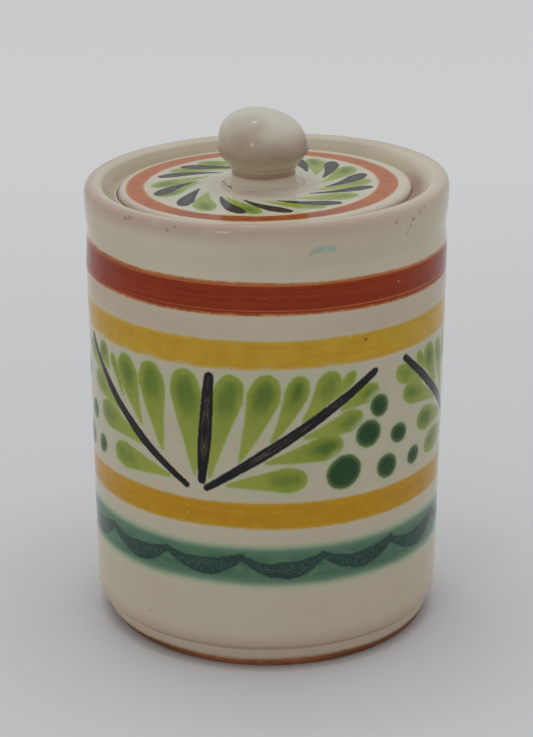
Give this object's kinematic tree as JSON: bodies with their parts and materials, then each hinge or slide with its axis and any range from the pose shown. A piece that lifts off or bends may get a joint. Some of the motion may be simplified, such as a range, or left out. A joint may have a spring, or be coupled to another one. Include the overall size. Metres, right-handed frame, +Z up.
{
  "type": "spice jar",
  "caption": "Cylindrical glazed earthenware spice jar with painted bands, a gallery inside its rim and a loose drop-in lid with a mushroom knob.",
  "frame": {"origin": "centre of the foot, on the surface that the jar stands on", "axes": "+Z up along the axis that the jar was thrown on, +Y towards the back of the picture's view, +X to its right"},
  "size_m": [0.0764, 0.0764, 0.1111],
  "materials": {
    "painted_jar_glaze": "glossy tin glaze over red clay, painted with bands and brush strokes, bare clay at the foot",
    "painted_lid_glaze": "glossy tin glaze over red clay, painted with a ring and brush strokes",
    "cream_glaze": "glossy plain tin glaze"
  },
  "bodies": {
    "jar": {"jar_body": "painted_jar_glaze"},
    "lid": {"lid_disc": "painted_lid_glaze", "lid_knob": "cream_glaze"}
  },
  "joints": [
    {"name": "lid_lift", "type": "slide", "parent": "jar", "child": "lid", "axis": [0, 0, 1], "range_m": [0, 0.06]}
  ]
}
